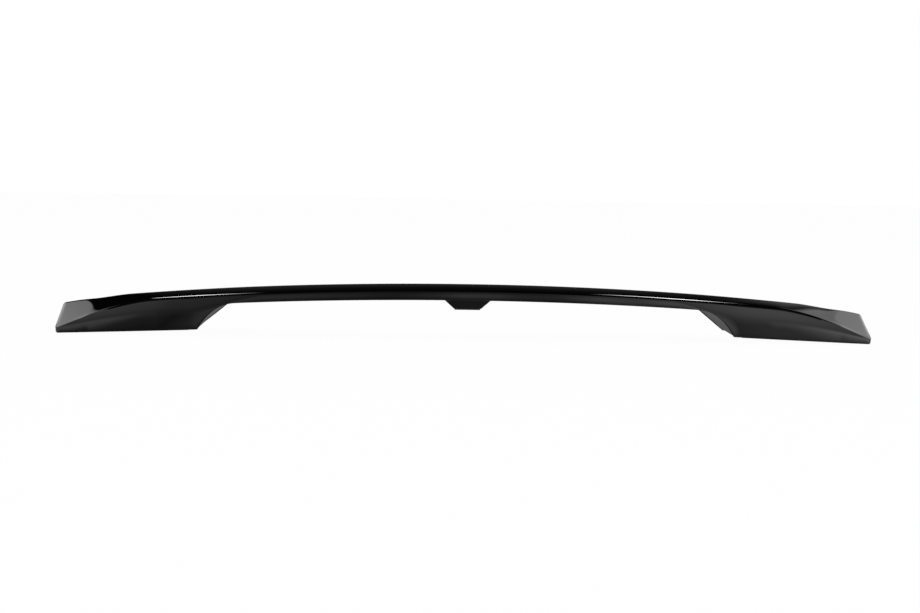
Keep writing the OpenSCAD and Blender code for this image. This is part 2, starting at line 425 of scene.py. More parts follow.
    def fine(self, x: float) -> Array:
        """The smooth outside line of a section, with its edges rounded.

        Args:
            x: place along the spoiler.

        Returns:
            Points from the rear rim over the top to the front rim.
        """
        yr, zb, zc = self.rear_y(x), self.near_z(x), self.edge_z(x)
        h, r, cut = zc - zb, self.rim_r, 0.3 * self.rim_r
        y0 = yr + self.face_y(x, h)
        pts = [(y0 + r, zb), (y0 + cut, zb + cut), (y0, zb + r)]
        for i in range(1, 17):
            z = zb + h * lerp(r / h, 1.0, i / 16)
            pts.append((yr + self.face_y(x, zc - z), z))
        run, rise = self.lip_run, self.lip_h * self.lip_k(x)
        slope = (self.skin_z(x, run + 0.5) - self.skin_z(x, run)) / 0.5
        corner = (0.3 * run, rise - slope * (run - 0.3 * run))
        lip = arc_to((0.0, 0.0), corner, (run, rise), 10)[:-1]
        pts += [(yr + a, zc + b) for a, b in lip]
        w = self.chord(x) - self.nose_round
        for i in range(96):
            d = lerp(run, w, (i / 95) ** 1.4)
            pts.append((yr + d, self.skin_z(x, d)))
        front, low = self.chord(x), self.nose_z(x) - self.nose_round
        top = (front, self.skin_z(x, front - self.nose_r))
        nose = arc_to((w, self.skin_z(x, w)), top, (front, low), 8)
        pts += [(yr + a, b) for a, b in nose]
        yf, zf = yr + front, self.far_z(x)
        pts += [(yf - 0.5 * t, lerp(low, zf + r, t)) for t in (0.35, 0.7)]
        pts += [(yf - r, zf + r), (yf - r - cut, zf + cut), (yf - 2 * r, zf)]
        return np.array(pts)

    def screw_places(self) -> list[tuple[float, float, float]]:
        """Places of the shell's screws, each where its panel cup ends.

        Returns:
            Points in the frame, left and right in turn.
        """
        mid = self.foot_x + 0.42 * self.foot_w
        spots = [(0.15 * self.half, 0.45), (0.4 * self.half, 0.45), (mid, 0.24), (mid, 0.56)]
        cup = self.head_h + self.head_gap + self.cup_floor
        return [
            (side.value * x, y, self.floor_z(x, y) + cup)
            for x, f in spots
            for y in (self.rear_y(x) + f * self.chord(x),)
            for side in Side
        ]

    def insert_places(self) -> list[tuple[float, float, float]]:
        """Places of the inserts' mouths, the centre foot's last.

        Returns:
            Points in the frame.
        """
        out = [
            (side.value * x, y, self.floor_z(x, y))
            for x in (self.foot_x + self.insert_in, self.half - self.insert_out)
            for y in (self.rear_y(x) + 0.5 * self.chord(x),)
            for side in Side
        ]
        return out + [(0.0, self.mid_y, self.low_h - self.mid_gap + self.pad_t)]

    def stand(self, x: float, sec: Array) -> Array:
        """Places a section at x, leaning inwards near the ends.

        Args:
            x: place along the spoiler.
            sec: section points.

        Returns:
            The points in the frame.
        """
        lean = math.copysign(self.lean(x), x) if x else 0.0
        out = np.empty((len(sec), 3))
        out[:, 0] = x - lean * np.maximum(0, sec[:, 1] - self.lid_z(x)) / self.lean_h
        out[:, 1:] = sec
        return out

    def stations(self, last: float, fine: int) -> list[float]:
        """Stations from the middle to last, with the CAD's own among them.

        Args:
            last: outermost station.
            fine: how many steps each CAD step is split into.

        Returns:
            Places along one half, from 0 outwards.
        """
        ends = [
            (0.0, 8),
            (self.foot_x - self.knee_w - 2, 11),
            (self.foot_x + 6, 5),
            (self.lean_grow[0] * self.half, 6),
            (last, 0),
        ]
        cad = [0.0]
        for (a, n), (b, _) in zip(ends, ends[1:]):
            cad += [lerp(a, b, i / n) for i in range(1, n + 1)]
        steps = zip(cad, cad[1:])
        return [lerp(a, b, j / fine) for a, b in steps for j in range(fine)] + [cad[-1]]


def inset(path: Array, d: float) -> Array:
    """Moves an open line inwards by d.

    Args:
        path: points from the rear rim over the top to the front rim.
        d: distance.

    Returns:
        The moved points.
    """
    a = np.vstack([path[1] - path[0], np.diff(path, axis=0)])
    b = np.vstack([np.diff(path, axis=0), path[-1] - path[-2]])
    a /= np.linalg.norm(a, axis=1)[:, None]
    b /= np.linalg.norm(b, axis=1)[:, None]
    m = a + b
    m /= np.linalg.norm(m, axis=1)[:, None]
    least = 0.7
    c = np.maximum(least, (a * m).sum(axis=1))
    return path + (d / c)[:, None] * np.stack([m[:, 1], -m[:, 0]], axis=1)


def squeeze(sec: Array, f: float) -> Array:
    """Shrinks a section for the rounding of an end face.

    Args:
        sec: section points.
        f: how far its edges come in.

    Returns:
        The shrunk section.
    """
    y0, top = (sec[0, 0] + sec[-1, 0]) / 2, sec[:, 1].max()
    reach = 45
    out = sec.copy()
    out[:, 0] = y0 + (sec[:, 0] - y0) * (1 - f / reach)
    out[:, 1] = top / 2 + (sec[:, 1] - top / 2) * (1 - 2 * f / top)
    return out


def strip(p: int, q: int, d: int, m: int) -> list[tuple[int, ...]]:
    """Quads between two rows of points.

    Args:
        p: first point of one row.
        q: first point of the other row.
        d: step from one point of a row to the next.
        m: points in a row.

    Returns:
        The faces, seen from outside in the mesh's own turn.
    """
    return [
        (q + j * d, p + j * d, p + (j + 1) * d, q + (j + 1) * d) for j in range(m - 1)
    ]


def link_new(name: str, data: bpy.types.ID) -> bpy.types.Object:
    """Makes an object for its data at the origin and links it to the scene."""
    obj = bpy.data.objects.new(name, data)
    bpy.context.scene.collection.objects.link(obj)
    return obj


def shade(obj: bpy.types.Object, angle: float = SHARP) -> None:
    """Shades an object smooth apart from edges sharper than an angle in degrees."""
    obj.data.shade_smooth()
    obj.data.set_sharp_from_angle(angle=math.radians(angle))


def new_mesh(
    name: str, verts: Array, faces: Sequence[Sequence[int]]
) -> bpy.types.Object:
    """Makes a mesh object at the origin, shaded smooth.

    Args:
        name: object name.
        verts: points in millimetres.
        faces: lists of point numbers.

    Returns:
        The object, linked to the scene.
    """
    mesh = bpy.data.meshes.new(name)
    mesh.from_pydata((np.asarray(verts) * MM).tolist(), [], [tuple(f) for f in faces])
    mesh.validate()
    mesh.update()
    obj = link_new(name, mesh)
    shade(obj)
    return obj


def flatten(obj: bpy.types.Object) -> None:
    """Turns an object and its modifiers into one plain mesh.

    Args:
        obj: mesh object with modifiers.
    """
    graph = bpy.context.evaluated_depsgraph_get()
    graph.update()
    done = bpy.data.meshes.new_from_object(obj.evaluated_get(graph))
    obj.modifiers.clear()
    obj.data = done


def revolve(
    name: str, rings: Sequence[Sequence[float]], n: int, lobes: int
) -> bpy.types.Object:
    """Turns a closed profile around the Z axis, some of its rings lobed.

    Args:
        name: object name.
        rings: radius, height and, in a lobed ring, share of radius lost between lobes.
        n: points in a ring.
        lobes: lobes of the lobed rings.

    Returns:
        The object, a template to be copied.
    """
    turn = np.arange(n) * 2 * math.pi / n
    rows = []
    for radius, z, *dip in rings:
        r = radius * (1 - sum(dip) * (0.5 - 0.5 * np.cos(lobes * turn)))
        rows.append(np.stack([r * np.cos(turn), r * np.sin(turn), np.full(n, z)], 1))
    m = len(rows)
    faces: list[tuple[int, ...]] = [
        (i * n + j, i * n + (j + 1) % n, (i + 1) * n + (j + 1) % n, (i + 1) * n + j)
        for i in range(m - 1)
        for j in range(n)
    ]
    faces.append(tuple(range(n - 1, -1, -1)))
    faces.append(tuple((m - 1) * n + j for j in range(n)))
    return new_mesh(name, np.vstack(rows), faces)


def new_tree(
    name: str,
    kind: str,
    inputs: Sequence[tuple[str, str]],
    outputs: Sequence[tuple[str, str]],
) -> bpy.types.NodeTree:
    """Makes a node group with named inputs and outputs.

    Args:
        name: group name.
        kind: tree type name.
        inputs: label and socket kind of each input.
        outputs: label and socket kind of each output.

    Returns:
        The empty group.
    """
    tree = bpy.data.node_groups.new(name, kind)
    for way, sockets in (("INPUT", inputs), ("OUTPUT", outputs)):
        for label, socket in sockets:
            tree.interface.new_socket(label, in_out=way, socket_type="NodeSocket" + socket)
    return tree


class NodeKit:
    """Small helper that adds and links shader or geometry nodes in one tree."""

    def __init__(self, tree: bpy.types.NodeTree) -> None:
        """Keeps the tree.

        Args:
            tree: shader or geometry node tree.
        """
        self.tree = tree

    @classmethod
    def blank(cls, owner: bpy.types.Material | bpy.types.World) -> "NodeKit":
        """Empties the node tree of a material or a world.

        Args:
            owner: the material or world.

        Returns:
            A kit for its tree.
        """
        owner.use_nodes = True
        owner.node_tree.nodes.clear()
        return cls(owner.node_tree)

    def put(self, value: object, into: bpy.types.NodeSocket) -> None:
        """Links an output to an input, or gives the input a plain value.

        Args:
            value: output socket or plain value.
            into: input socket.
        """
        if isinstance(value, bpy.types.NodeSocket):
            self.tree.links.new(value, into)
        else:
            into.default_value = value

    def add(
        self, kind: str, sockets: dict[int | str, object] | None = None, **values: object
    ) -> bpy.types.Node:
        """Adds a node, sets its properties and then fills its inputs.

        Args:
            kind: node type name.
            sockets: what goes into an input, by its name or number.
            values: properties of the node.

        Returns:
            The node.
        """
        node = self.tree.nodes.new(kind)
        for key, value in values.items():
            setattr(node, key, value)
        for key, value in (sockets or {}).items():
            self.put(value, node.inputs[key])
        return node

    def maths(self, op: str, *args: object) -> bpy.types.NodeSocket:
        """Adds a math node for numbers or sockets and returns its result."""
        return self.add("ShaderNodeMath", dict(enumerate(args)), operation=op).outputs[0]

    def chain(self, op: str, *parts: object) -> bpy.types.NodeSocket:
        """Runs a two-sided operation through several values.

        Args:
            op: operation name.
            parts: numbers or sockets.

        Returns:
            The result socket.
        """
        total = parts[0]
        for part in parts[1:]:
            total = self.maths(op, total, part)
        return total

    def ramp(
        self, value: bpy.types.NodeSocket, a: float, b: float, lo: float, hi: float
    ) -> bpy.types.NodeSocket:
        """Smooth map of a value from a..b to lo..hi.

        Args:
            value: input socket.
            a: start of the range.
            b: end of the range.
            lo: result at a.
            hi: result at b.

        Returns:
            The result socket.
        """
        sockets = dict(enumerate((value, a, b, lo, hi)))
        node = self.add("ShaderNodeMapRange", sockets, interpolation_type="SMOOTHSTEP")
        return node.outputs[0]

    def curve(
        self, value: bpy.types.NodeSocket, stops: Sequence[Point], gain: float = 1.0
    ) -> bpy.types.NodeSocket:
        """Maps a value through a line of stops.

        Args:
            value: input socket.
            stops: places and results, in rising order of place.
            gain: factor on every result.

        Returns:
            The result socket.
        """
        lo, hi = stops[0][0], stops[-1][0]
        place = self.add("ShaderNodeMapRange", {0: value, 1: lo, 2: hi})
        line = self.add("ShaderNodeValToRGB", {0: place.outputs[0]})
        marks = line.color_ramp.elements
        while len(marks) < len(stops):
            marks.new(1.0)
        for mark, (at, _) in zip(marks, stops):
            mark.position = (at - lo) / (hi - lo)
        for mark, (_, level) in zip(marks, stops):
            mark.color = (level, level, level, 1)
        return self.maths("MULTIPLY", line.outputs[0], gain)

    def window(
        self, value: bpy.types.NodeSocket, a: float, b: float, soft: float
    ) -> bpy.types.NodeSocket:
        """A soft window, 1 between two values and 0 outside them.

        Args:
            value: input socket.
            a: start.
            b: end.
            soft: width of each edge.

        Returns:
            The result socket.
        """
        rise = self.ramp(value, a - soft, a + soft, 0.0, 1.0)
        fall = self.ramp(value, b - soft, b + soft, 1.0, 0.0)
        return self.maths("MULTIPLY", rise, fall)


@dataclass(frozen=True)
class Finish:
    """A surface finish: colour, gloss and the small detail it carries."""

    name: str
    color: tuple[float, float, float]
    rough: float
    metal: float = 0.0
    specular: float = 0.5
    coat: float = 0.0
    coat_rough: float = 0.02
    grain: float = 400.0
    bump: float = 0.1
    bump_mm: float = 0.05
    vary: float = 0.1
    rough_vary: float = 0.1


class Finishes:
    """Makes each material once, all from one shared surface group."""

    PAINT = Finish(
        "painted_skin",
        (0.0011, 0.0011, 0.0012),
        0.4,
        specular=0.0,
        coat=1.0,
        coat_rough=0.0,
        grain=160.0,
        bump=0.004,
        bump_mm=0.0006,
        vary=0.15,
        rough_vary=0.04,
    )
    SATIN = Finish(
        "satin_plastic",
        (0.0045, 0.0045, 0.005),
        0.32,
        specular=0.2,
        grain=2200.0,
        bump=0.25,
        bump_mm=0.02,
        vary=0.12,
        rough_vary=0.16,
    )
    FOAM = Finish(
        "foam",
        (0.035, 0.035, 0.036),
        0.9,
        grain=1500.0,
        bump=0.8,
        bump_mm=0.15,
        vary=0.35,
    )
    BRASS = Finish(
        "brass",
        (0.62, 0.44, 0.18),
        0.3,
        metal=1.0,
        grain=3000.0,
        bump_mm=0.01,
        vary=0.12,
        rough_vary=0.2,
    )
    STEEL = Finish(
        "zinc_steel",
        (0.5, 0.5, 0.52),
        0.34,
        metal=1.0,
        grain=2600.0,
        bump_mm=0.01,
        vary=0.15,
        rough_vary=0.25,
    )

    def __init__(self) -> None:
        """Builds the shared group."""
        self.group = self._surface_group()
        self.made: dict[str, bpy.types.Material] = {}

    @staticmethod
    def _surface_group() -> bpy.types.NodeTree:
        """Makes the node group that gives colour, roughness and normal.

        Returns:
            The shader node group.
        """
        numbers = ("Roughness", "Grain", "Bump", "Bump distance")
        numbers += ("Colour variation", "Roughness variation")
        tree = new_tree(
            "surface_detail",
            "ShaderNodeTree",
            [("Color", "Color"), *((name, "Float") for name in numbers)],
            [("Color", "Color"), ("Roughness", "Float"), ("Normal", "Vector")],
        )
        kit = NodeKit(tree)
        given = kit.add("NodeGroupInput").outputs
        noise = partial(kit.add, "ShaderNodeTexNoise")
        where = kit.add("ShaderNodeTexCoord").outputs["Object"]
        fine = noise({"Vector": where, "Scale": given["Grain"], "Detail": 3.0})
        broad = noise({"Vector": where, "Scale": 14.0, "Detail": 5.0})
        swing = kit.maths("SUBTRACT", broad.outputs["Fac"], 0.5)
        change = kit.chain("MULTIPLY", given["Colour variation"], 4.0, swing)
        bright = kit.maths("ADD", 1.0, change)
        tint = kit.add(
            "ShaderNodeVectorMath", {0: given["Color"], "Scale": bright}, operation="SCALE"
        )
        change = kit.chain("MULTIPLY", given["Roughness variation"], 2.0, swing)
        rough = kit.maths("ADD", given["Roughness"], change)
        height = {"Height": fine.outputs["Fac"], "Strength": given["Bump"]}
        bump = kit.add("ShaderNodeBump", {**height, "Distance": given["Bump distance"]})
        rough = kit.maths("MAXIMUM", rough, 0.01)
        kit.add("NodeGroupOutput", {0: tint.outputs[0], 1: rough, 2: bump.outputs[0]})
        return tree

    def get(self, f: Finish) -> bpy.types.Material:
        """Returns the material of a finish, made on first use.

        Args:
            f: the finish.

        Returns:
            The material.
        """
        if f.name in self.made:
            return self.made[f.name]
        mat = bpy.data.materials.new(f.name + "_finish")
        kit = NodeKit.blank(mat)
        color = (*f.color, 1)
        looks = (color, f.rough, f.grain, f.bump, f.bump_mm * MM, f.vary, f.rough_vary)
        group = kit.add("ShaderNodeGroup", dict(enumerate(looks)), node_tree=self.group)
        bsdf = kit.add(
            "ShaderNodeBsdfPrincipled",
            {
                "Base Color": color,
                "Roughness": f.rough,
                "Metallic": f.metal,
                "Specular IOR Level": f.specular,
                "Coat Weight": f.coat,
                "Coat Roughness": f.coat_rough,
            },
        )
        for i, name in enumerate(("Base Color", "Roughness", "Normal")):
            kit.put(group.outputs[i], bsdf.inputs[name])
        if f.coat:
            kit.put(group.outputs[2], bsdf.inputs["Coat Normal"])
        kit.add("ShaderNodeOutputMaterial", {0: bsdf.outputs[0]})
        self.made[f.name] = mat
        return mat


class Copier:
    """A Geometry Nodes tree that sets a template and its thread on every point."""

    INPUTS = (
        ("Geometry", "Geometry"),
        ("Template", "Object"),
        ("Threaded", "Bool"),
        ("Thread radius", "Float"),
        ("Thread depth", "Float"),
        ("Thread start", "Float"),
        ("Thread length", "Float"),
        ("Pitch", "Float"),
        ("Random turn", "Float"),
        ("Material", "Material"),
    )
    SEED = 7

    def __init__(self) -> None:
        """Builds the tree once; each piece sets its own inputs."""
        self.tree = new_tree(
            "fixings_on_points", "GeometryNodeTree", self.INPUTS, [("Geometry", "Geometry")]
        )
        sockets = self.tree.interface.items_tree
        self.ids = {s.name: s.identifier for s in sockets if s.in_out == "INPUT"}
        kit = NodeKit(self.tree)
        given = kit.add("NodeGroupInput").outputs
        xyz = partial(kit.add, "ShaderNodeCombineXYZ")
        one = self._one(kit, given)
        chance = kit.add(
            "FunctionNodeRandomValue",
            {3: given["Random turn"], "Seed": self.SEED},
            data_type="FLOAT",
        )
        tall = kit.add("GeometryNodeInputNamedAttribute", {0: "tall"}, data_type="FLOAT")
        spread = kit.add(
            "GeometryNodeInstanceOnPoints",
            {
                "Points": given["Geometry"],
                "Instance": one,
                "Rotation": xyz({2: chance.outputs[1]}).outputs[0],
                "Scale": xyz({0: 1.0, 1: 1.0, 2: tall.outputs[0]}).outputs[0],
            },
        )
        real = kit.add("GeometryNodeRealizeInstances", {0: spread.outputs[0]})
        dressed = kit.add(
            "GeometryNodeSetMaterial",
            {"Geometry": real.outputs[0], "Material": given["Material"]},
        )
        kit.add("NodeGroupOutput", {0: dressed.outputs[0]})

    @staticmethod
    def _one(kit: NodeKit, given: Sequence[bpy.types.NodeSocket]) -> bpy.types.NodeSocket:
        """Joins the template and, where it is wanted, its spiral thread.

        Args:
            kit: helper of the tree.
            given: the tree's inputs.

        Returns:
            The joined geometry.
        """
        radius, length = given["Thread radius"], given["Thread length"]
        body = kit.add(
            "GeometryNodeObjectInfo", {"Object": given["Template"]}, transform_space="ORIGINAL"
        )
        spiral = kit.add(
            "GeometryNodeCurveSpiral",
            {
                "Resolution": 28,
                "Rotations": kit.maths("DIVIDE", length, given["Pitch"]),
                "Start Radius": radius,
                "End Radius": radius,
                "Height": length,
            },
        )
        ridge = kit.add(
            "GeometryNodeCurvePrimitiveCircle",
            {"Resolution": 4, "Radius": given["Thread depth"]},
        )
        curves = {"Curve": spiral.outputs[0], "Profile Curve": ridge.outputs[0]}
        thread = kit.add("GeometryNodeCurveToMesh", {**curves, "Fill Caps": True})
        lift = kit.add("ShaderNodeCombineXYZ", {2: given["Thread start"]})
        raised = kit.add(
            "GeometryNodeTransform",
            {"Geometry": thread.outputs[0], "Translation": lift.outputs[0]},
        )
        wanted = kit.add(
            "GeometryNodeSwitch",
            {"Switch": given["Threaded"], "True": raised.outputs[0]},
            input_type="GEOMETRY",
        )
        one = kit.add("GeometryNodeJoinGeometry", {0: wanted.outputs[0]})
        kit.put(body.outputs["Geometry"], one.inputs[0])
        return one.outputs[0]

    def make(
        self,
        name: str,
        places: Sequence[Sequence[float]],
        template: bpy.types.Object,
        values: dict[str, float],
        material: bpy.types.Material,
        tall: Sequence[float] | None = None,
    ) -> bpy.types.Object:
        """Copies the template to each place and returns one plain mesh.

        Args:
            name: piece name.
            places: points in millimetres.
            template: object to copy; it is deleted afterwards.
            values: thread inputs by name, lengths in millimetres; none for no thread.
            material: material of the copies.
            tall: stretch along Z at each point.

        Returns:
            The piece.
        """
        obj = new_mesh(name, np.array(places, float), [])
        mark = obj.data.attributes.new("tall", "FLOAT", "POINT")
        mark.data.foreach_set("value", tall or [1.0] * len(places))
        mod = obj.modifiers.new("copies", "NODES")
        mod.node_group = self.tree
        mod[self.ids["Template"]] = template
        mod[self.ids["Material"]] = material
        mod[self.ids["Threaded"]] = bool(values)
        for key, value in values.items():
            mod[self.ids[key]] = float(value if key == "Random turn" else value * MM)
        flatten(obj)
        shade(obj)
        bpy.data.objects.remove(template)
        return obj


class Piece:
    """Base of all visible pieces: hands a mesh to the frame."""

    def __init__(self, finishes: Finishes, size: SpoilerSize) -> None:
        """Keeps the finishes and sizes.

        Args:
            finishes: maker of materials.
            size: driving sizes.
        """
        self.finishes, self.size = finishes, size

    def hand_over(
        self, obj: bpy.types.Object, finish: Finish, node: str
    ) -> bpy.types.Object:
        """Gives a piece its material and its place in the frame.

        Args:
            obj: finished mesh object.
            finish: its surface.
            node: CAD node that it stands for.

        Returns:
            The same object.
        """
        obj.data.materials.clear()
        obj.data.materials.append(self.finishes.get(finish))
        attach(obj, "root")
        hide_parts(node)
        LOG.info("piece %s: %d faces", obj.name, len(obj.data.polygons))
        return obj


class UpperShell(Piece):
    """The painted outer moulding, drawn finely from the spoiler's own lines."""

    STEPS = 6

    def build(self) -> bpy.types.Object:
        """Builds the skin as one closed mesh.

        Returns:
            The piece.
        """
        z = self.size
        flat, r = z.half - z.wall - 1, z.end_r
        turns = [math.radians(a) for a in np.linspace(0, 90, 10)]
        arc = [(z.half - r + r * math.sin(a), r * (1 - math.cos(a))) for a in turns]
        tail = [q for q in arc if q[0] > flat + 0.1]
        right = z.stations(flat, self.STEPS)
        mid = [-x for x in reversed(right[1:])] + right
        f_at = r - math.sqrt(r * r - max(0.0, r - z.wall - 1) ** 2)
        outer = [self._ring(-x, f) for x, f in reversed(tail)]
        outer += [self._ring(x, self._ease(x, flat, f_at)) for x in mid]
        outer += [self._ring(x, f) for x, f in tail]
        inner = []
        for x in mid:
            o = z.outer(x)
            p = inset(o, z.wall)
            p[0, 1], p[-1, 1] = o[0, 1], o[-1, 1]
            inner.append(z.stand(x, p))
        return self._skin(outer, inner, len(tail))

    def _ring(self, x: float, f: float) -> Array:
        """One outer section in its place, squeezed by f."""
        sec = self.size.fine(x)
        return self.size.stand(x, squeeze(sec, f) if f else sec)

    @staticmethod
    def _ease(x: float, flat: float, f_at: float) -> float:
        """Start of the end rounding just before the last inner station.

        Args:
            x: station.
            flat: last inner station.
            f_at: rounding there.

        Returns:
            How far the section is squeezed.
        """
        run = 2.0
        return f_at * max(0.0, (abs(x) - flat + run) / run) ** 2

    def _skin(self, outer: list[Array], inner: list[Array], c: int) -> bpy.types.Object:
        """Joins the outer and inner sections into one closed skin.

        Args:
            outer: outer sections from left to right.
            inner: inner sections from left to right.
            c: outer sections beyond the inner ones, at each end.

        Returns:
            The piece.
        """
        n, m, t, k = len(outer[0]), len(inner), len(outer), len(inner[0])
        e, g, o = n - 1, k - 1, t * n
        za, zb, ia, ib = c * n, (c + m - 1) * n, o, o + (m - 1) * k
        faces: list[tuple[int, ...]] = []
        for i in range(n - 1):
            faces += strip(i + 1, i, n, t)
        for i in range(k - 1):
            faces += strip(o + i, o + i + 1, k, m)
        for j in range(m - 1):
            a, b = za + j * n, ia + j * k
            faces.append((b, a, a + n, b + k))
            faces.append((a + e, b + g, b + k + g, a + n + e))
        faces.append(tuple(range(e, -1, -1)))
        faces.append(tuple((t - 1) * n + i for i in range(n)))
        faces.append(tuple(ia + i for i in range(k)))
        faces.append(tuple(ib + i for i in range(g, -1, -1)))
        faces += strip(0, e, n, c)
        faces += strip(zb + n, zb + n + e, n, c)
        faces.append((za - n, za, ia, ia + g, za + e, za - n + e))
        faces.append((zb, zb + n, zb + n + e, zb + e, ib + g, ib))
        obj = new_mesh("upper_shell_skin", np.vstack(outer + inner), faces)
        return self.hand_over(obj, Finishes.PAINT, "upper_shell")


class Fixings(Piece):
    """Screws, threaded inserts and the shell's hollow posts."""

    def __init__(self, finishes: Finishes, size: SpoilerSize) -> None:
        """Keeps the sizes and makes the shared tree.

        Args:
            finishes: maker of materials.
            size: driving sizes.
        """
        super().__init__(finishes, size)
        self.copier = Copier()

    def screws(self) -> bpy.types.Object:
        """Thread-forming pan-head screws with a six-lobed recess.

        Returns:
            The piece.
        """
        z = self.size
        r, head, h = z.screw_d / 2, z.screw_d, z.head_h
        end, core = z.cup_floor + z.thread_in - 1, 0.74 * r
        recess = [(0.46, 0.45, 0.24), (0.48, 0.94, 0.24), (0.54, 0.99, 0.05)]
        dome = [(0.72, 0.98), (0.87, 0.86), (0.96, 0.6), (0.99, 0.3), (0.97, 0.0)]
        shank = [(1.0, 0.0), (1.0, end - 1.6), (0.5, end - 0.3), (0.2, end - 0.05)]
        rings = [(0.2, -0.45 * h)]
        rings += [(k * head, -v * h, *dip) for k, v, *dip in recess + dome]
        rings += [(k * core, v) for k, v in shank]
        body = revolve("screw", rings, 48, 6)
        places = [(x, y, v - z.cup_floor) for x, y, v in z.screw_places()]
        reach = z.mid_d / 2 - z.mid_screw_in
        places += [(0.0, z.mid_y + k * reach, z.low_h - z.cup_floor) for k in (-1, 1)]
        thread = {
            "Thread radius": core,
            "Thread depth": r - core - 0.02,
            "Thread start": 0.9,
            "Thread length": end - 2.9,
            "Pitch": z.screw_pitch,
            "Random turn": 6.2,
        }
        return self._finish("assembly_screws", places, body, thread, Finishes.STEEL)

    def inserts(self) -> bpy.types.Object:
        """Knurled brass inserts with a blind thread, open downwards.

        Returns:
            The piece.
        """
        z = self.size
        r, bore, tall = z.insert_d / 2, z.insert_bore / 2, z.insert_l
        full, low = (0.995, 0.05), (0.93,)
        knurl = [
            (r * k, v * tall, *dip)
            for v, k, *dip in (
                (0.08, 0.97),
                (0.12, *full),
                (0.42, *full),
                (0.46, *low),
                (0.56, *low),
                (0.6, *full),
                (0.9, *full),
                (0.98, *low),
            )
        ]
        mouth = [(bore, 0.6), (bore + 0.55, 0.02), (r - 0.35, 0.02)]
        top = [(0.86 * r, tall - 0.02), (0.3, tall - 0.02)]
        blind = [(0.3, tall - 1.1), (bore, tall - 1.3)]
        body = revolve("insert", [*blind, *mouth, *knurl, *top], 120, 30)
        thread = {
            "Thread radius": bore - 0.02,
            "Thread depth": 0.34,
            "Thread start": 0.7,
            "Thread length": tall - 2.6,
            "Pitch": z.insert_pitch,
            "Random turn": 0.6,
        }
        places = z.insert_places()
        return self._finish("thread_inserts", places, body, thread, Finishes.BRASS)

    def posts(self) -> bpy.types.Object:
        """Hollow posts inside the shell that take the screws.

        Returns:
            The piece.
        """
        z = self.size
        bore = z.screw_d / 2
        r = bore + z.post_wall
        rings = [(bore, 0.6), (bore, 0.0), (r, 0.0), (r, 1.0), (bore, 1.0)]
        body = revolve("post", rings, 48, 1)
        places = z.screw_places()
        into = 0.62 * z.wall
        tall = [z.skin_z(x, y - z.rear_y(x)) - into - v for x, y, v in places]
        return self._finish("upper_shell", places, body, {}, Finishes.PAINT, tall)

    def _finish(
        self,
        node: str,
        places: Sequence[Sequence[float]],
        body: bpy.types.Object,
        thread: dict[str, float],
        finish: Finish,
        tall: Sequence[float] | None = None,
    ) -> bpy.types.Object:
        """Copies a template to its places and hands the piece over.

        Args:
            node: CAD node that it stands for.
            places: points in millimetres.
            body: the template.
            thread: thread inputs.
            finish: surface.
            tall: stretch along Z at each point.

        Returns:
            The piece.
        """
        name = "upper_shell_posts" if node == "upper_shell" else node + "_look"
        mat = self.finishes.get(finish)
        obj = self.copier.make(name, places, body, thread, mat, tall)
        return self.hand_over(obj, finish, node)


class CadPiece(Piece):
    """A piece taken from its CAD node, with softened edges; angles are in degrees."""

    JOIN_M = 2e-6
    FLAT = 0.5
    SHARP = 32.0
    BEVEL_FROM = 40.0

    def build(
        self, frame: dict, node: str, finish: Finish, radius: float, segments: int = 2
    ) -> bpy.types.Object:
        """Copies a node's mesh, joins its faces and rounds its edges.

        Args:
            node: CAD node name.
            finish: surface of the piece.
            radius: edge rounding in millimetres.
            segments: steps of the rounding.

        Returns:
            The piece.
        """
        mesh = frame["nodes"][node].data.copy()
        bm = bmesh.new()
        bm.from_mesh(mesh)
        bmesh.ops.remove_doubles(bm, verts=bm.verts, dist=self.JOIN_M)
        flat = math.radians(self.FLAT)
        bmesh.ops.dissolve_limit(bm, angle_limit=flat, verts=bm.verts, edges=bm.edges)
        bm.to_mesh(mesh)
        bm.free()
        obj = link_new(node + "_look", mesh)
        shade(obj, self.SHARP)
        bevel = obj.modifiers.new("edges", "BEVEL")
        bevel.width, bevel.segments = radius * MM, segments
        bevel.limit_method, bevel.angle_limit = "ANGLE", math.radians(self.BEVEL_FROM)
        bevel.use_clamp_overlap = True
        even = obj.modifiers.new("even_shading", "WEIGHTED_NORMAL")
        even.keep_sharp, even.weight = True, 90
        flatten(obj)
        return self.hand_over(obj, finish, node)


@dataclass(frozen=True)
class CameraSpec:
    """Camera of the photograph's view."""

    distance: float = 3.0
    elevation: float = 4.28
    yaw: float = 2.03
    aim: tuple[float, float, float] = (0.0, 0.0, 0.045)
    focal_px: float = 1911.5
    roll: float = 0.0174
    centre: tuple[float, float] = (466.0, 308.2)
    frame: tuple[int, int] = (920, 613)
    sensor: float = 36.0


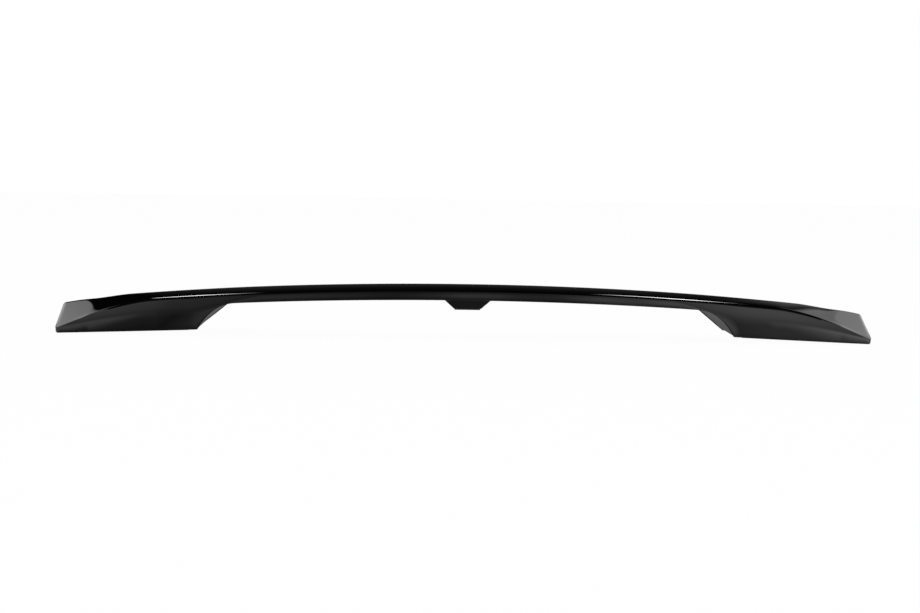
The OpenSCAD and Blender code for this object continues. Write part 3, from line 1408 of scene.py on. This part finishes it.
class Studio:
    """Floor, lights, world and camera."""

    AMBIENT = 0.6
    FLOOR_WHITE = 0.97
    FLOOR_COLOR = (0.85, 0.85, 0.85, 1)
    LAMP_SIZE = (1.6, 1.0)
    LAMP_WATTS = 28

    def __init__(self, cam: CameraSpec) -> None:
        """Keeps the camera sizes and makes the shared reflections.

        Args:
            cam: the photograph's view.
        """
        self.cam = cam
        self.glow = self._glow()

    def build(self) -> None:
        """Sets up everything that isn't the object."""
        self._camera()
        self._world()
        self._floor()
        for side in Side:
            self._lamp(f"soft_{side.name.lower()}", (1.6 * side.value, -2.2, 2.4))

    def _camera(self) -> None:
        """Creates the camera and makes it the scene's."""
        c = self.cam
        wide, high = c.frame
        data = bpy.data.cameras.new("camera")
        data.sensor_width = c.sensor
        data.lens = c.sensor * c.focal_px / wide
        data.shift_x = -(c.centre[0] - wide / 2) / wide
        data.shift_y = (c.centre[1] - high / 2) / wide
        data.clip_end = 200.0
        obj = link_new("camera", data)
        e, yaw = math.radians(c.elevation), math.radians(c.yaw)
        flat = math.cos(e)
        away = Vector((-math.sin(yaw) * flat, -math.cos(yaw) * flat, math.sin(e)))
        at = Vector(c.aim) + c.distance * away
        look = (Vector(c.aim) - at).to_track_quat("-Z", "Y").to_matrix().to_4x4()
        roll = Matrix.Rotation(math.atan(c.roll), 4, "Z")
        obj.matrix_world = Matrix.Translation(at) @ look @ roll
        bpy.context.scene.camera = obj

    @staticmethod
    def _glow() -> bpy.types.NodeTree:
        """What a reflection meets in each direction of the studio.

        Returns:
            A group from a direction to a level: dark flags overhead and ahead, two
            narrow strips, pale screens at the sides and a lit floor behind the car.
        """
        ends = [("Direction", "Vector")], [("Level", "Float")]
        tree = new_tree("studio_glow", "ShaderNodeTree", *ends)
        kit = NodeKit(tree)
        given = kit.add("NodeGroupInput").outputs
        x, y, z = kit.add("ShaderNodeSeparateXYZ", {0: given[0]}).outputs
        times, ramp, curve = partial(kit.chain, "MULTIPLY"), kit.ramp, kit.curve
        plus = partial(kit.chain, "ADD")
        high = curve(
            x,
            [(-0.46, 1.0), (-0.4, 0.86), (-0.36, 0.74), (-0.34, 0.66), (-0.32, 0.46),
             (-0.28, 0.42), (-0.15, 0.3), (-0.04, 0.2), (0.04, 0.35), (0.12, 0.3),
             (0.2, 0.85), (0.3, 1.0), (0.34, 1.05), (0.37, 1.25), (0.41, 1.3), (0.46, 1.0)],
        )
        low = curve(
            x,
            [(-0.36, 0.8), (-0.34, 0.6), (-0.325, 0.14), (-0.3, 0.0), (-0.24, 0.42),
             (-0.16, 0.36), (-0.05, 0.16), (0.0, 0.3), (0.03, 0.55), (0.07, 0.5),
             (0.09, 0.3), (0.14, 0.25), (0.19, 0.75), (0.23, 0.55), (0.26, 0.95),
             (0.3, 0.7), (0.33, 0.1), (0.38, 0.18), (0.41, 1.1), (0.43, 1.7)],
        )
        high = times(high, ramp(z, -0.36, -0.12, 0.28, 1.0))
        low = times(low, ramp(z, -0.32, -0.22, 1.0, 0.0), ramp(z, -0.56, -0.42, 0.3, 1.0))
        rear = ramp(y, -0.5, -0.2, 1.0, 0.0)
        behind = times(plus(high, low), ramp(z, 0.06, 0.2, 1.0, 0.0), rear)
        sides = curve(
            x,
            [(-0.6, 1.8), (-0.495, 1.7), (-0.482, 1.25), (-0.462, 0.8), (-0.448, 0.0),
             (0.33, 0.0), (0.375, 0.62), (0.49, 0.8), (0.52, 1.1), (0.54, 1.65), (0.6, 1.9)],
        )
        sides = times(sides, ramp(y, 0.3, 0.5, 0.0, 1.0))
        ahead = curve(x, [(-0.2, 0.0), (-0.1, 0.028), (0.1, 0.034), (0.22, 0.008)])
        ahead = times(ahead, ramp(z, 0.36, 0.6, 1.1, 0.3))
        corner = times(
            curve(x, [(0.2, 0.0), (0.27, 0.1), (0.36, 0.1)]),
            curve(z, [(0.2, 3.0), (0.3, 1.6), (0.38, 0.9), (0.46, 0.3), (0.5, 0.0)]),
        )
        front = times(plus(ahead, corner), ramp(y, 0.6, 0.75, 0.0, 1.0))
        strips = curve(
            x,
            [(-0.28, 0.0), (-0.268, 0.12), (-0.25, 0.7), (-0.24, 1.2), (-0.22, 0.75),
             (-0.2, 0.24), (-0.188, 0.14), (-0.18, 0.0), (0.165, 0.0), (0.178, 0.2),
             (0.2, 0.55), (0.22, 0.6), (0.235, 1.1), (0.25, 1.2), (0.264, 0.7),
             (0.276, 0.24), (0.285, 0.0)],
            32.0,
        )
        strips = times(strips, kit.window(y, 0.26, 0.6, 0.06))
        left = times(ramp(x, -0.6, -0.56, 1.0, 0.0), kit.window(y, -0.5, 0.45, 0.05), 3.0)
        above = times(plus(strips, left), ramp(z, 0.45, 0.6, 0.0, 1.0))
        floor = ramp(z, -0.85, -0.68, 0.6, 0.0)
        far = times(
            ramp(z, 0.03, 0.1, 1.0, 0.0),
            ramp(y, 0.1, 0.4, 0.0, 1.0),
            curve(x, [(-0.5, 0.2), (0.0, 0.32), (0.5, 0.2)]),
        )
        flanks = times(
            curve(kit.maths("ABSOLUTE", x), [(0.62, 0.0), (0.68, 0.7), (0.82, 0.9), (0.97, 0.45)]),
            curve(z, [(0.0, 1.0), (0.5, 0.6), (0.85, 0.15)]),
        )
        fill = times(kit.window(z, 0.3, 0.7, 0.15), ramp(y, -0.75, -0.45, 0.12, 0.0))
        parts = (plus(behind, above), plus(sides, front), floor, far, plus(flanks, fill))
        kit.add("NodeGroupOutput", {0: kit.chain("MAXIMUM", *parts)})
        return tree

    def _world(self) -> None:
        """White to the camera, the studio's glow to reflections, plain to the rest."""
        world = bpy.data.worlds.new("studio")
        bpy.context.scene.world = world
        kit = NodeKit.blank(world)
        ray = kit.add("ShaderNodeLightPath").outputs
        way = kit.add("ShaderNodeTexCoord").outputs["Generated"]
        glow = kit.add("ShaderNodeGroup", {0: way}, node_tree=self.glow)
        mix = partial(kit.add, "ShaderNodeMix", data_type="FLOAT")
        level = mix({0: ray["Is Glossy Ray"], 2: self.AMBIENT, 3: glow.outputs[0]})
        seen = kit.maths("MAXIMUM", ray["Is Camera Ray"], ray["Is Transmission Ray"])
        final = mix({0: seen, 2: level.outputs[0], 3: 1.0})
        sky = kit.add("ShaderNodeBackground", {0: WHITE, 1: final.outputs[0]})
        kit.add("ShaderNodeOutputWorld", {0: sky.outputs[0]})

    def _floor(self) -> None:
        """A plain pale floor: white to the camera apart from a faint shadow; to reflections it is
        a painted glow, emitting the studio's glow though it is no lamp.
        """
        side, far = 4e3, 12e3
        corners = [(-side, -side, 0), (side, -side, 0), (side, far, 0), (-side, far, 0)]
        obj = new_mesh("floor", np.array(corners), [(0, 1, 2, 3)])
        mat = bpy.data.materials.new("pale_floor")
        kit = NodeKit.blank(mat)
        ray = kit.add("ShaderNodeLightPath").outputs
        mix = partial(kit.add, "ShaderNodeMixShader")
        dull = kit.add("ShaderNodeBsdfDiffuse", {0: self.FLOOR_COLOR}).outputs[0]
        white = kit.add("ShaderNodeEmission", {0: WHITE}).outputs[0]
        lit = mix({0: self.FLOOR_WHITE, 1: dull, 2: white}).outputs[0]
        # Painted glow: to glossy rays the floor emits the studio's glow level instead of being
        # lit.
        come = kit.add("ShaderNodeNewGeometry").outputs["Incoming"]
        way = kit.add("ShaderNodeVectorMath", {0: come, "Scale": -1.0}, operation="SCALE")
        glow = kit.add("ShaderNodeGroup", {0: way.outputs[0]}, node_tree=self.glow)
        painted_floor_glow = kit.add("ShaderNodeEmission", {1: glow.outputs[0]}).outputs[0]
        first = mix({0: ray["Is Camera Ray"], 1: dull, 2: lit}).outputs[0]
        final = mix({0: ray["Is Glossy Ray"], 1: first, 2: painted_floor_glow})
        kit.add("ShaderNodeOutputMaterial", {0: final.outputs[0]})
        obj.data.materials.append(mat)

    def _lamp(self, name: str, at: tuple[float, float, float]) -> None:
        """Adds a broad soft lamp for the satin and foam pieces, out of reflections.

        Args:
            name: lamp name.
            at: its place in metres; it faces the object.
        """
        data = bpy.data.lights.new(name, "AREA")
        data.shape, data.size, data.size_y = "RECTANGLE", *self.LAMP_SIZE
        data.energy = self.LAMP_WATTS
        obj = link_new(name, data)
        obj.location = at
        obj.rotation_euler = (-Vector(at)).to_track_quat("-Z", "Y").to_euler()
        obj.visible_glossy = False


def main() -> None:
    """Builds the spoiler and its studio in order."""
    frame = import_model()
    bpy.context.scene.view_settings.view_transform = "Standard"
    size, finishes = SpoilerSize(), Finishes()
    UpperShell(finishes, size).build()
    cad = CadPiece(finishes, size)
    cad.build(frame, "lower_panel", Finishes.SATIN, 0.4)
    cad.build(frame, "centre_foot", Finishes.SATIN, 3.2, 4)
    for node in ("foot_pad_left", "foot_pad_right", "centre_pad"):
        cad.build(frame, node, Finishes.FOAM, 0.3)
    fixings = Fixings(finishes, size)
    fixings.screws()
    fixings.inserts()
    fixings.posts()
    Studio(CameraSpec()).build()


if __name__ == "__main__":
    main()
